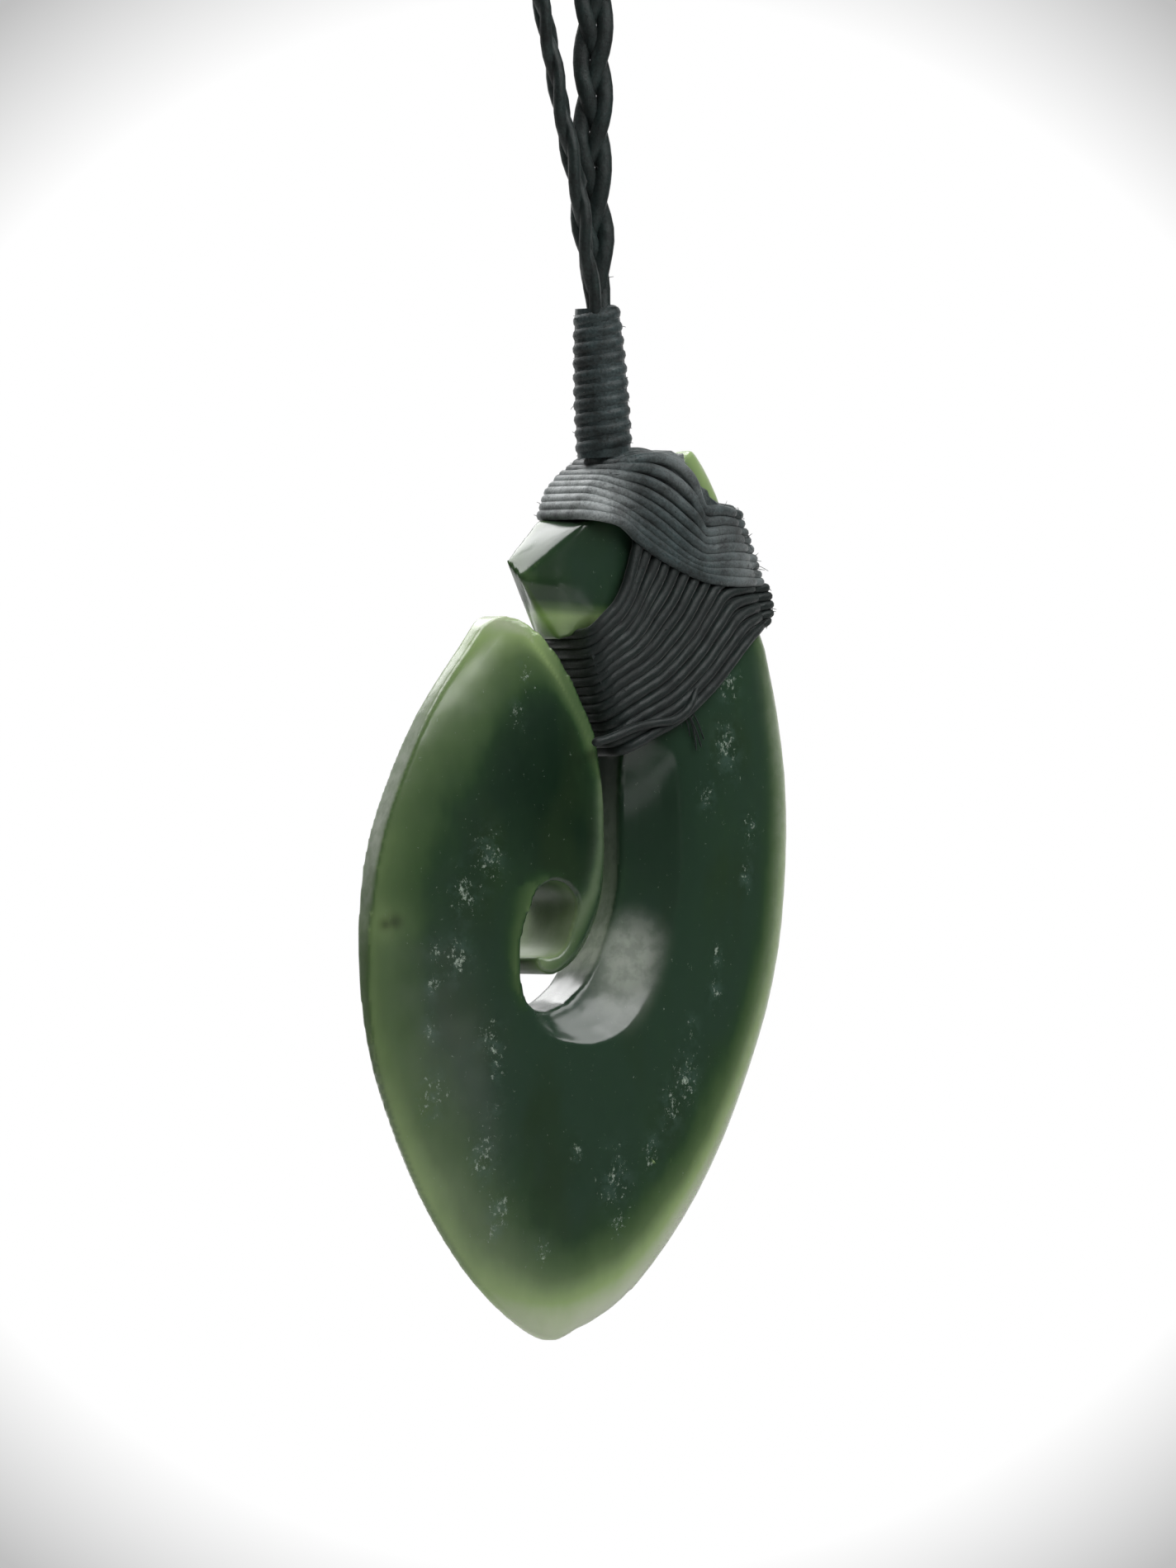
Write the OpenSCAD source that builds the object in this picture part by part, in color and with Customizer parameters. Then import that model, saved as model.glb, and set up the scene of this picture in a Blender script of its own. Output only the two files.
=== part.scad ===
// Hei matau pendant: a carved nephrite hook, lashed and whipped to a plaited neck cord.
// It hangs from the inside of the neck cord's top, which is the origin.
// X is to the right as seen from the front, the front face looks along -Y, and Z is up.

/* [Stone] */
// Height of the carved hook from its lower tip to its upper corner
stone_h = 60; // [45:1:80]
// Width of the carved hook at its widest
stone_w = 33.2; // [26:0.2:44]
// Thickness of the hook in its middle
stone_t = 7; // [6:0.25:9]
// Width of the slit between the lobe and the shank
slit_w = 1.6; // [1.2:0.1:2]
// Radius of the bowl at the top of the eye
bowl_r = 1.75; // [1.5:0.05:2]
// Width of the cove that is ground along the shank's side of the slit
cove_w = 3.8; // [2.5:0.1:4.5]
// Depth of the cove at the slit
cove_depth = 1.6; // [0.8:0.1:2.2]
// Width of the rounded edge along the lobe's side of the slit
lobe_edge_w = 1.1; // [0.4:0.1:1.4]
// Width of the rounded edges along the slit on the back
back_edge_w = 0.9; // [0.4:0.1:1.2]

/* [Lashing] */
// Diameter of the waxed thread
thread_d = 1; // [0.7:0.05:1.2]
// Clearance under the wound threads
lash_gap = 0.12; // [0.05:0.01:0.2]
// How far the strands of the upper lashing dip on their way across the face
upper_dip = 1.7; // [1:0.1:2.5]
// How far the strands of the lower lashing dip on their way across the face
lower_dip = 2.3; // [1:0.1:3]

/* [Whipping] */
// Number of turns of thread in the whipping
whip_turns = 10; // [7:1:14]
// Diameter of the whipping at its top
whip_top_d = 3.2; // [2.8:0.1:4]
// Diameter of the whipping at its base
whip_base_d = 3.7; // [3:0.1:4.5]
// Lean of the whipping to the left, in degrees
whip_lean = 3.5; // [0:0.5:6]

/* [Neck cord] */
// Diameter of the plaited neck cord as a plain round
cord_d = 1.7; // [1.4:0.1:1.8]
// Height of the loop of neck cord above the whipping
loop_h = 324; // [240:4:420]

/* [Hidden] */

half_w = stone_w / 2;
nephrite = [0.16, 0.25, 0.16];
waxed_thread = [0.19, 0.22, 0.22];

// Sections of the hook's blank from the lower tip to the top.
// Columns: height, left edge, right edge, crown thickness, left rim, right rim, flatness of the left face.
// Heights are shares of stone_h, edges are shares of half the width, the others but the last of stone_t.
BLANK = [
    [0.000, -0.135, -0.080, 0.14, 0.08, 0.10, 2.0],
    [0.007, -0.200, -0.015, 0.22, 0.08, 0.11, 2.0],
    [0.028, -0.315, 0.145, 0.34, 0.08, 0.12, 2.0],
    [0.063, -0.458, 0.290, 0.48, 0.08, 0.12, 2.0],
    [0.108, -0.593, 0.434, 0.61, 0.08, 0.13, 2.1],
    [0.162, -0.720, 0.572, 0.73, 0.08, 0.14, 2.1],
    [0.225, -0.834, 0.693, 0.84, 0.08, 0.15, 2.2],
    [0.300, -0.937, 0.804, 0.93, 0.10, 0.16, 2.2],
    [0.367, -0.985, 0.895, 0.98, 0.13, 0.17, 2.3],
    [0.433, -1.000, 0.958, 1.00, 0.18, 0.18, 2.3],
    [0.500, -0.982, 0.988, 1.00, 0.24, 0.18, 2.4],
    [0.567, -0.934, 1.000, 0.98, 0.26, 0.18, 2.4],
    [0.633, -0.840, 0.991, 0.95, 0.26, 0.18, 2.4],
    [0.700, -0.717, 0.955, 0.90, 0.24, 0.18, 2.6],
    [0.750, -0.590, 0.916, 0.85, 0.22, 0.18, 3.0],
    [0.800, -0.450, 0.873, 0.80, 0.22, 0.18, 5.0],
    [0.850, -0.360, 0.820, 0.76, 0.24, 0.18, 8.0],
    [0.900, -0.340, 0.755, 0.72, 0.24, 0.18, 8.0],
    [0.950, -0.330, 0.680, 0.66, 0.24, 0.18, 8.0],
    [0.983, -0.320, 0.610, 0.63, 0.24, 0.18, 8.0],
    [1.000, -0.320, 0.560, 0.62, 0.24, 0.18, 8.0],
    [1.020, -0.320, 0.510, 0.61, 0.24, 0.18, 8.0],
];
// Roundness of the right half of a section, and of a turn of thread at its ends.
right_power = 2.6;
right_round = 1.5;
turn_power = 6;
rings_per_row = 2;
points_per_face = 18;

// What is cut away above the lobe and to the left of the neck.
// Columns: across as a share of half the width, height as a share of stone_h.
NOTCH = [
    [-1.10, 0.788], [-0.488, 0.788], [-0.455, 0.799], [-0.418, 0.807], [-0.374, 0.811],
    [-0.328, 0.808], [-0.280, 0.800], [-0.228, 0.788], [-0.158, 0.765], [-0.100, 0.738],
    [-0.050, 0.710], [-0.008, 0.682], [0.030, 0.652], [0.150, 0.650], [0.140, 0.670],
    [0.098, 0.700], [0.040, 0.733], [0.000, 0.767], [0.015, 0.800], [0.040, 0.833],
    [0.030, 0.900], [0.015, 0.925], [0.030, 0.942], [0.065, 0.958], [0.120, 0.970],
    [0.270, 0.980], [0.450, 0.985], [0.530, 0.995], [0.575, 1.002], [0.62, 1.10], [-1.10, 1.10],
];

// The slit from the notch down to the eye and round the tongue's tip.
// Columns: across, height, radius as a share of half slit_w,
// rounded lobe edge as a share of lobe_edge_w, cove as a share of its width, cove as a share of its depth.
SLIT = [
    [0.105, 0.690, 1.10, 0.9, 0.80, 0.00],
    [0.098, 0.665, 1.10, 0.9, 0.92, 0.25],
    [0.106, 0.640, 1.05, 1.0, 1.00, 0.65],
    [0.115, 0.610, 1.00, 1.0, 1.00, 0.90],
    [0.118, 0.580, 1.00, 1.0, 1.00, 1.00],
    [0.118, 0.545, 1.00, 1.0, 1.00, 1.00],
    [0.110, 0.512, 1.00, 1.0, 1.00, 1.00],
    [0.088, 0.482, 1.00, 1.0, 1.00, 1.00],
    [0.052, 0.454, 1.06, 1.0, 1.02, 1.00],
    [0.008, 0.430, 1.16, 1.0, 1.04, 1.00],
    [-0.048, 0.410, 1.32, 0.9, 1.00, 1.00],
    [-0.125, 0.396, 1.46, 0.6, 0.82, 0.90],
    [-0.205, 0.389, 1.50, 0.3, 0.50, 0.65],
    [-0.268, 0.392, 1.54, 0.1, 0.18, 0.30],
];
// How the slit ends: past the tongue's tip and up into the bowl, in the first three columns of SLIT.
CURL = [
    [-0.312, 0.407, 0.95],
    [-0.332, 0.430, 0.58],
    [-0.300, 0.447, 1.20],
];
BOWL = [-0.240, 0.458];
BOWL_TOP = [-0.205, 0.485];

// Corners of the faceted knob: across, depth and height as shares of half_w, stone_t and stone_h.
KNOB = [
    [-0.060, 0.370, 0.920], [-0.020, -0.370, 0.917],
    [-0.278, 0.130, 0.873], [-0.278, -0.130, 0.853],
    [-0.150, -0.310, 0.847], [-0.150, 0.310, 0.847],
    [0.035, -0.385, 0.813], [0.035, 0.385, 0.813],
    [-0.112, -0.190, 0.784], [-0.112, 0.190, 0.784],
    [0.150, -0.370, 0.915], [0.150, 0.370, 0.915],
    [0.150, -0.370, 0.805], [0.150, 0.370, 0.805],
];

// Where the turns of each lashing meet the stone's edges, from the lowest to the highest.
// Columns: left end across and up, right end across and up, as shares of half_w and stone_h,
// and the strand's dip between them as a share of the lashing's dip.
UPPER_TURNS = [
    [0.020, 0.898, 0.826, 0.843, 1.0],
    [0.022, 0.914, 0.812, 0.855, 1.0],
    [0.035, 0.936, 0.796, 0.867, 1.0],
    [0.085, 0.962, 0.778, 0.879, 1.0],
    [0.150, 0.972, 0.758, 0.890, 1.0],
    [0.230, 0.978, 0.738, 0.900, 0.9],
    [0.320, 0.982, 0.720, 0.909, 0.8],
    [0.410, 0.984, 0.704, 0.917, 0.7],
];
LOWER_TURNS = [
    [0.143, 0.668, 0.880, 0.792, 1.0],
    [0.128, 0.685, 0.862, 0.812, 1.0],
    [0.098, 0.702, 0.842, 0.834, 1.0],
    [0.060, 0.720, 0.815, 0.858, 0.9],
    [0.030, 0.741, 0.768, 0.890, 0.75],
    [0.005, 0.760, 0.670, 0.914, 0.6],
    [0.000, 0.776, 0.530, 0.932, 0.55],
    [0.003, 0.789, 0.390, 0.950, 0.55],
    [0.012, 0.800, 0.260, 0.964, 0.6],
];
// The upper lashing lies over the lower one, so it stands prouder, in thread diameters.
upper_rise = 1.2;
LASH_CENTRE = [0.37, 0.84];
points_per_turn_side = 18;
// A strand's lowest place lies this far to the left of its middle, as a power.
dip_lean = 0.85;

// The place on top of the head where the whipping stands, and the whipping's own sizes.
SEAT = [0.160, 0.9765];
whip_pitch = thread_d * 0.95;
whip_len = whip_turns * whip_pitch;
seat_lift = upper_rise * thread_d + 3 * lash_gap;

// The neck cord's route, from one end on the whipping round to the other, chosen by hand.
// Columns: across as a share of loop_h, depth as a share of cord_d, height above the whipping as a share of loop_h.
ROUTE = [
    [-0.0022, -0.44, 0], [-0.0046, -0.47, 0.0123], [-0.0062, -0.35, 0.0247], [-0.0086, -0.18, 0.037],
    [-0.0114, 0, 0.0525], [-0.0154, 0, 0.0679], [-0.0247, 0, 0.0957], [-0.0432, 0, 0.1543],
    [-0.0679, 0, 0.2469], [-0.0926, 0, 0.3704], [-0.1173, 0, 0.4938], [-0.1389, 0, 0.6173],
    [-0.1512, 0, 0.7253], [-0.1543, 0, 0.8025], [-0.1481, 0, 0.8642], [-0.1296, 0, 0.9198],
    [-0.0988, 0, 0.963], [-0.0556, 0, 0.9907], [-0.0062, 0, 1], [0.0432, 0, 0.9907],
    [0.0864, 0, 0.963], [0.1173, 0, 0.9198], [0.1358, 0, 0.8642], [0.142, 0, 0.8025],
    [0.1389, 0, 0.7253], [0.1204, 0, 0.6173], [0.0895, 0, 0.4938], [0.0556, 0, 0.3704],
    [0.0247, 0, 0.2469], [0.0077, 0, 0.1543], [0.0009, 0, 0.0957], [-0.0006, 0, 0.0679],
    [-0.0006, 0.06, 0.0525], [-0.0003, 0.18, 0.037], [0, 0.35, 0.0247], [0.0012, 0.47, 0.0123],
    [0.0019, 0.44, 0],
];
TOP_POINT = 18;
rings_per_leg_point = 2;
cord_sides = 8;
cord_gap = 0.15;

// Places in the frame that hangs from the origin.
route = [for (p = ROUTE) [p[0] * loop_h, p[1] * cord_d, p[2] * loop_h]];
cord_foot = [0, 0, cord_d / 2] - route[TOP_POINT];
whip_top = cord_foot - [0, 0, cord_gap];
whip_base = whip_top - whip_len * [-sin(whip_lean), 0, cos(whip_lean)];
stone_origin = whip_base - [SEAT[0] * half_w, 0, SEAT[1] * stone_h + seat_lift];

// One value of a smooth curve through four neighbours, at t from 0 to 1 between the middle two.
function between(a, b, c, d, t) =
    0.5 * (2 * b + (c - a) * t + (2 * a - 5 * b + 4 * c - d) * t * t + (3 * b - a - 3 * c + d) * t * t * t);

// A row at a fractional place in a table, on smooth curves through its rows.
function row_at(table, place) =
    let (last = len(table) - 1, i = min(floor(place), last - 1), t = place - i)
    between(table[max(i - 1, 0)], table[i], table[i + 1], table[min(i + 2, last)], t);

function refine(table, per_row) = [for (k = [0:(len(table) - 1) * per_row]) row_at(table, k / per_row)];

// Half the blank's thickness at u, which runs from -1 at the left edge to 1 at the right.
function half_thickness(row, u) =
    u < 0
    ? stone_t * (row[4] + (row[3] - row[4]) * (1 - pow(-u, row[6]))) / 2
    : stone_t * (row[5] + (row[3] - row[5]) * pow(1 - pow(u, right_power), 1 / right_round)) / 2;

// The place in BLANK of a height, found by stepping through its rows.
function place_of(z, i = 0) =
    i >= len(BLANK) - 2 || z < BLANK[i + 1][0] * stone_h
    ? i + max(0, min(1, (z / stone_h - BLANK[i][0]) / (BLANK[i + 1][0] - BLANK[i][0])))
    : place_of(z, i + 1);

// Half the blank's thickness at a point of its face, x and z in millimetres.
function face_at(x, z) =
    let (row = row_at(BLANK, place_of(z)), mid = (row[1] + row[2]) / 2, half = (row[2] - row[1]) / 2)
    half_thickness(row, max(-1, min(1, (x / half_w - mid) / half)));

// A closed skin over rings that have the same number of points each.
module skin(rings) {
    n = len(rings[0]);
    last = len(rings) - 1;
    ends = [for (r = [rings[0], rings[last]]) [for (axis = [0:2]) [for (p = r) p[axis]] * [for (p = r) 1 / n]]];
    points = concat([for (r = rings) each r], ends);
    low = n * (last + 1);
    sides = [for (r = [0:last - 1], k = [0:n - 1])
        let (a = r * n + k, b = r * n + (k + 1) % n)
        each [[a, b + n, b], [a, a + n, b + n]]];
    caps = [for (k = [0:n - 1])
        each [[low, k, (k + 1) % n], [low + 1, last * n + (k + 1) % n, last * n + k]]];
    polyhedron(points, concat(sides, caps), convexity = 10);
}

// One ring of the blank, from the left edge across the front and back behind.
function blank_ring(row, grow) =
    let (
        mid = (row[1] + row[2]) / 2 * half_w,
        half = (row[2] - row[1]) / 2,
        z = row[0] * (stone_h + grow),
        across = [for (k = [0:points_per_face]) -cos(180 * k / points_per_face)],
        y = [for (u = across) half_thickness(row, u) + grow]
    )
    [
        for (k = [0:points_per_face]) [mid + across[k] * (half * half_w + grow), -y[k], z],
        for (k = [points_per_face:-1:0]) [mid + across[k] * (half * half_w + grow), y[k], z]
    ];

module blank(grow) {
    skin([for (row = refine(BLANK, rings_per_row)) blank_ring(row, grow)]);
}

module notch(grow) {
    translate([0, stone_t, 0])
    rotate([90, 0, 0])
    linear_extrude(2 * stone_t)
    offset(delta = -grow)
    polygon([for (p = NOTCH) [p[0] * half_w, p[1] * stone_h]]);
}

// A round peg right through the stone, which cuts the slit, the eye and the bowl.
module peg(x, z, radius) {
    translate([x * half_w, stone_t, z * stone_h])
    rotate([90, 0, 0])
    cylinder(r = radius, h = 2 * stone_t, $fn = 32);
}

module slit(grow) {
    path = concat([for (s = SLIT) [s[0], s[1], s[2]]], CURL);
    for (k = [0:len(path) - 2])
        hull() {
            peg(path[k][0], path[k][1], path[k][2] * slit_w / 2 - grow);
            peg(path[k + 1][0], path[k + 1][1], path[k + 1][2] * slit_w / 2 - grow);
        }
    hull() {
        peg(BOWL[0], BOWL[1], bowl_r - grow);
        peg(BOWL_TOP[0], BOWL_TOP[1], bowl_r - grow);
    }
}

// The direction square to the slit at a fractional place of its table, towards the shank.
function slit_normal(place) =
    let (
        step = 1 / rings_per_row,
        a = row_at(SLIT, max(place - step, 0)),
        b = row_at(SLIT, min(place + step, len(SLIT) - 1)),
        d = [(b[0] - a[0]) * half_w, (b[1] - a[1]) * stone_h]
    )
    [-d[1], d[0]] / norm(d);

// How a ground edge's profile bows: the cove is hollow, the rounded edges are full.
cove_bow = 0.6;
edge_bow = -0.7;

// A ground edge along the slit: side is 1 for the shank's cove and -1 for the lobe's rounded edge.
// The profile runs from over the slit to where the ground surface meets the face.
function edge_ring(place, side, width, depth, bow, grow) =
    let (
        s = row_at(SLIT, place),
        c = [s[0] * half_w, s[1] * stone_h],
        n = side * slit_normal(place),
        r = s[2] * slit_w / 2,
        outer = c + n * (r + width),
        face = face_at(outer[0], outer[1]) + grow,
        shares = [0, 0.25, 0.5, 0.75, 1],
        top = -stone_t
    )
    [
        [c[0], top, c[1]],
        [c[0], depth - face, c[1]],
        for (t = shares)
            let (p = c + n * (r + width * t)) [p[0], depth * (1 - t) * (1 + bow * t) - face, p[1]],
        [outer[0], top, outer[1]]
    ];

slit_rings = (len(SLIT) - 1) * rings_per_row;

module cove(grow) {
    skin([for (k = [0:slit_rings])
        let (place = k / rings_per_row, s = row_at(SLIT, place))
        edge_ring(place, 1, cove_w * s[4], cove_depth * s[5], cove_bow, grow)]);
}

// A rounded edge fades in over the first row of the slit's table.
function fade(place) = max(0.02, min(1, place));

// The rounded edge on the lobe's side of the slit.
module lobe_edge(width, grow) {
    skin([for (k = [slit_rings:-1:0])
        let (place = k / rings_per_row, w = width * fade(place) * row_at(SLIT, place)[3])
        edge_ring(place, -1, w, w, edge_bow, grow)]);
}

// The rounded edge on the shank's side of the slit.
module shank_edge(width, grow) {
    skin([for (k = [0:slit_rings])
        let (place = k / rings_per_row, w = width * fade(place))
        edge_ring(place, 1, w, w, edge_bow, grow)]);
}

// The knob's corners, pushed out from its middle so far that its facets keep a clearance.
corner_push = 1.6;

module knob(grow) {
    corners = [for (p = KNOB) [p[0] * half_w, p[1] * stone_t, p[2] * stone_h]];
    middle = [for (axis = [0:2]) [for (p = corners) p[axis]] * [for (p = corners) 1 / len(corners)]];
    hull()
    polyhedron(
        [for (p = corners) p + grow * corner_push * (p - middle) / norm(p - middle)],
        [[for (k = [0:len(corners) - 1]) k]]
    );
}

// The carved stone. A grow above 0 gives the same form with a clearance all round.
module stone(grow = 0) {
    difference() {
        blank(grow);
        notch(grow);
        slit(grow);
        cove(grow);
        lobe_edge(lobe_edge_w, grow);
        mirror([0, 1, 0]) {
            lobe_edge(back_edge_w, grow);
            shank_edge(back_edge_w, grow);
        }
    }
    knob(grow);
}

// A closed turn of thread round the head, between two ends on the stone's edges.
function turn_ring(turn, dip, out) =
    let (
        centre = [LASH_CENTRE[0] * half_w, LASH_CENTRE[1] * stone_h],
        left = [turn[0] * half_w, turn[1] * stone_h],
        right = [turn[2] * half_w, turn[3] * stone_h],
        l = left + out * (left - centre) / norm(left - centre),
        r = right + out * (right - centre) / norm(right - centre),
        n = points_per_turn_side,
        across = [for (k = [0:n]) -cos(180 * k / n)],
        places = [for (u = across) let (t = (u + 1) / 2) l + (r - l) * t - [0, dip * turn[4] * sin(180 * pow(t, dip_lean))]],
        y = [for (k = [0:n])
            (face_at(places[k][0], places[k][1]) + out) * pow(1 - pow(abs(across[k]), turn_power), 1 / turn_power)]
    )
    [
        for (k = [0:n]) [places[k][0], -y[k], places[k][1]],
        for (k = [n - 1:-1:1]) [places[k][0], y[k], places[k][1]]
    ];

module band(turns, dip, out) {
    skin([for (row = refine(turns, 1)) turn_ring(row, dip, out)]);
}

module hook() {
    color(nephrite)
    translate(stone_origin)
    stone();
}

module lower_lashing() {
    color(waxed_thread)
    translate(stone_origin)
    difference() {
        band(LOWER_TURNS, lower_dip, lash_gap + thread_d);
        stone(lash_gap);
        for (drop = [0, 2 * lash_gap])
            translate([0, 0, -drop])
            band(UPPER_TURNS, upper_dip, 2 * lash_gap + thread_d * upper_rise);
    }
}

module upper_lashing() {
    color(waxed_thread)
    translate(stone_origin)
    difference() {
        band(UPPER_TURNS, upper_dip, lash_gap + thread_d * upper_rise);
        stone(lash_gap);
    }
}

module whipping() {
    color(waxed_thread)
    translate(whip_base)
    rotate([0, -whip_lean, 0])
    rotate_extrude()
    union() {
        polygon([[0, 0], [whip_base_d / 2 - thread_d / 2, 0], [whip_top_d / 2 - thread_d / 2, whip_len], [0, whip_len]]);
        for (k = [0:whip_turns - 1])
            translate([
                whip_base_d / 2 - thread_d / 2 + (whip_top_d - whip_base_d) / 2 * (k + 0.5) / whip_turns,
                (k + 0.5) * whip_pitch
            ])
            circle(d = whip_pitch, $fn = 24);
    }
}

// The ring of the neck cord at a place of its route.
function cord_ring(points, k) =
    let (
        last = len(points) - 1,
        d = points[min(k + 1, last)] - points[max(k - 1, 0)],
        t = d / norm(d),
        side = cross(t, [0, 1, 0]) / norm(cross(t, [0, 1, 0])),
        up = cross(t, side)
    )
    [for (j = [0:cord_sides - 1])
        points[k] + cord_d / 2 * (cos(360 * j / cord_sides) * side + sin(360 * j / cord_sides) * up)];

module neck_cord() {
    smooth_route = refine(route, rings_per_leg_point);
    color(waxed_thread)
    translate(cord_foot)
    skin([for (k = [0:len(smooth_route) - 1]) cord_ring(smooth_route, k)]);
}

hook();
lower_lashing();
upper_lashing();
whipping();
neck_cord();
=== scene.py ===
"""Dresses a hei matau pendant: a carved nephrite hook, bound with waxed thread and hung on a plaited cord.

The solids come packed, in metres, hanging from the inside of the top of the neck loop. The stone and the
lashings take their place from them, the whipping and the cord from numbers given here, and the sidebar
panel rebuilds a piece after one of its sizes or colours is changed.
"""

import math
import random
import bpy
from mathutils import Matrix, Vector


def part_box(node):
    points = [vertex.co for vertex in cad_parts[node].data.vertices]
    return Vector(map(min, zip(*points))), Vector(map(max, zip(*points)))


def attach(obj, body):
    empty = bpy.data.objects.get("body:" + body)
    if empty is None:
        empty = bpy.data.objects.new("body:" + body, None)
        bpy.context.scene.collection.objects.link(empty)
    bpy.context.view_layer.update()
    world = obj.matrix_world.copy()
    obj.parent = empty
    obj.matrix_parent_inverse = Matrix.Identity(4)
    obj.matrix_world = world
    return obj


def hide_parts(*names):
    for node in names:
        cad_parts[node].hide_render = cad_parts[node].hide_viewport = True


bl_info = {
    "name": "Hei matau pendant",
    "version": (1, 0, 0),
    "blender": (4, 5, 0),
    "location": "View3D > Sidebar > Pendant",
    "description": "Polished nephrite hook with wound thread, whipping and a three-strand neck plait",
    "category": "Object",
}

from functools import partial

import bmesh
import bpy
import numpy as np
from bpy.props import FloatProperty, IntProperty, PointerProperty, StringProperty
from mathutils import Vector
from mathutils.bvhtree import BVHTree
from mathutils.kdtree import KDTree

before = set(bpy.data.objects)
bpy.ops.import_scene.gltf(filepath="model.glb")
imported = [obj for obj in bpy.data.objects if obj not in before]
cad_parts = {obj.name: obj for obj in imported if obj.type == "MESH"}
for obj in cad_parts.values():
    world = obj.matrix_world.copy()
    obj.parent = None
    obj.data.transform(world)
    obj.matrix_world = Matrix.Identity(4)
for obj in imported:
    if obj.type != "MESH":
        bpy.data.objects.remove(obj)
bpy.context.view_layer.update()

MM = 0.001
# The stone's place, height and greatest thickness. Places on it are given as shares: across from its
# middle in half widths, and up from its tip in heights.
STONE_LOW, STONE_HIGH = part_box("hook")
STONE_X = (STONE_LOW[0] + STONE_HIGH[0]) / 2
STONE_Z = STONE_LOW[2]
HALF_W = (STONE_HIGH[0] - STONE_LOW[0]) / 2
STONE_H = 60 * MM
SHARES = np.array([HALF_W, STONE_H])
STONE_T = 7 * MM

# The head of the stone under the thread: height, left and right edge, crown, left and right rim, flatness.
HEAD = np.array([
    (0.633, -0.840, 0.991, 0.95, 0.26, 0.18, 2.4),
    (0.700, -0.717, 0.955, 0.90, 0.24, 0.18, 2.6),
    (0.750, -0.590, 0.916, 0.85, 0.22, 0.18, 3.0),
    (0.800, -0.450, 0.873, 0.80, 0.22, 0.18, 5.0),
    (0.850, -0.360, 0.820, 0.76, 0.24, 0.18, 8.0),
    (0.900, -0.340, 0.755, 0.72, 0.24, 0.18, 8.0),
    (0.950, -0.330, 0.680, 0.66, 0.24, 0.18, 8.0),
    (1.000, -0.320, 0.560, 0.62, 0.24, 0.18, 8.0),
    (1.020, -0.320, 0.510, 0.61, 0.24, 0.18, 8.0),
])

# Turns of thread on the head: the lowest, a middle and the top one of the upper lashing, and the outer, a
# middle and the inner one of the lower. Each goes from the left end across the face to the right end. The
# upper turns have a fold in their seventh point, where they round the shoulder.
UPPER_TURNS = np.array([
    [(-0.040, 0.925), (0.100, 0.917), (0.180, 0.900), (0.263, 0.885), (0.350, 0.873), (0.435, 0.863),
     (0.528, 0.855), (0.678, 0.851), (0.875, 0.851)],
    [(0.015, 0.957), (0.100, 0.951), (0.204, 0.940), (0.302, 0.925), (0.401, 0.905), (0.471, 0.892),
     (0.522, 0.886), (0.669, 0.889), (0.825, 0.887)],
    [(0.130, 0.980), (0.190, 0.986), (0.260, 0.989), (0.330, 0.988), (0.408, 0.980), (0.475, 0.962),
     (0.516, 0.932), (0.620, 0.930), (0.765, 0.926)],
])
LOWER_TURNS = np.array([
    [(0.105, 0.660), (0.170, 0.669), (0.250, 0.681), (0.345, 0.693), (0.441, 0.710), (0.560, 0.736),
     (0.675, 0.765), (0.790, 0.790), (0.925, 0.808)],
    [(0.012, 0.722), (0.080, 0.739), (0.171, 0.754), (0.235, 0.766), (0.295, 0.781), (0.401, 0.812),
     (0.479, 0.843), (0.570, 0.868), (0.840, 0.872)],
    [(-0.035, 0.790), (0.031, 0.808), (0.090, 0.823), (0.135, 0.843), (0.165, 0.865), (0.196, 0.891),
     (0.235, 0.919), (0.300, 0.945), (0.420, 0.955)],
])

# A painted glow that stands in for light coming in through the outline: height, left strength, left reach in
# millimetres, and the same two on the right.
EDGE_LIGHT = np.array([
    (0.00, 0.80, 5.0, 1.00, 4.8),
    (0.05, 0.60, 4.4, 1.00, 4.2),
    (0.12, 0.46, 4.2, 1.00, 3.2),
    (0.20, 0.41, 4.2, 0.95, 2.5),
    (0.30, 0.37, 4.2, 0.88, 2.1),
    (0.45, 0.30, 3.6, 0.64, 1.8),
    (0.60, 0.34, 3.4, 0.50, 1.5),
    (0.70, 0.46, 3.8, 0.45, 1.2),
    (0.76, 0.56, 4.8, 0.42, 0.9),
    (0.81, 0.84, 5.8, 0.42, 0.8),
    (0.83, 0.15, 1.0, 0.42, 0.8),
    (0.94, 0.10, 1.0, 0.70, 2.5),
    (1.02, 0.30, 1.0, 0.75, 3.5),
])
# Where a painted highlight lies on the stone: the side of its left rim, the right outline, and the far wall
# of the slit towards the foot of the eye, each as height and strength.
HIGHLIGHT_RIM = [
    (0.0, 0.1), (0.2, 0.25), (0.35, 0.1), (0.43, 0.1), (0.50, 0.35), (0.57, 0.7), (0.66, 0.6), (0.74, 0.3),
    (0.81, 0.1), (0.84, 0.0),
]
HIGHLIGHT_EDGE = [(0.0, 0.3), (0.08, 0.38), (0.3, 0.45), (0.7, 0.4), (0.8, 0.0)]
HIGHLIGHT_WALL = [
    (0.36, 1.0), (0.42, 1.0), (0.445, 0.72), (0.47, 0.42), (0.51, 0.25), (0.58, 0.16), (0.65, 0.08),
    (0.80, 0.0),
]
# Painted reflections in the hollow: across, height, radius in millimetres and strength.
HIGHLIGHT_HOLLOW = [
    (0.11, 0.380, 2.0, 0.12), (0.15, 0.402, 2.0, 0.24), (0.18, 0.426, 2.0, 0.34), (0.215, 0.448, 1.9, 0.25),
]
# How strong the painted highlight on the lobe's shoulder is.
BAND_HIGHLIGHT = 0.09
# The eye's walls, which a drill leaves dull: across, height, and the reach across and up.
DULL_EYE = (-0.20, 0.47, 0.20, 0.07)
# The edge of the rounded lobe along the slit, which shows as a thin bright line of painted glow.
LOBE_EDGE = [(-0.42, 0.806), (-0.30, 0.790), (-0.18, 0.745), (-0.07, 0.690), (0.02, 0.630), (0.06, 0.570),
             (0.055, 0.510), (0.01, 0.450)]
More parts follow.
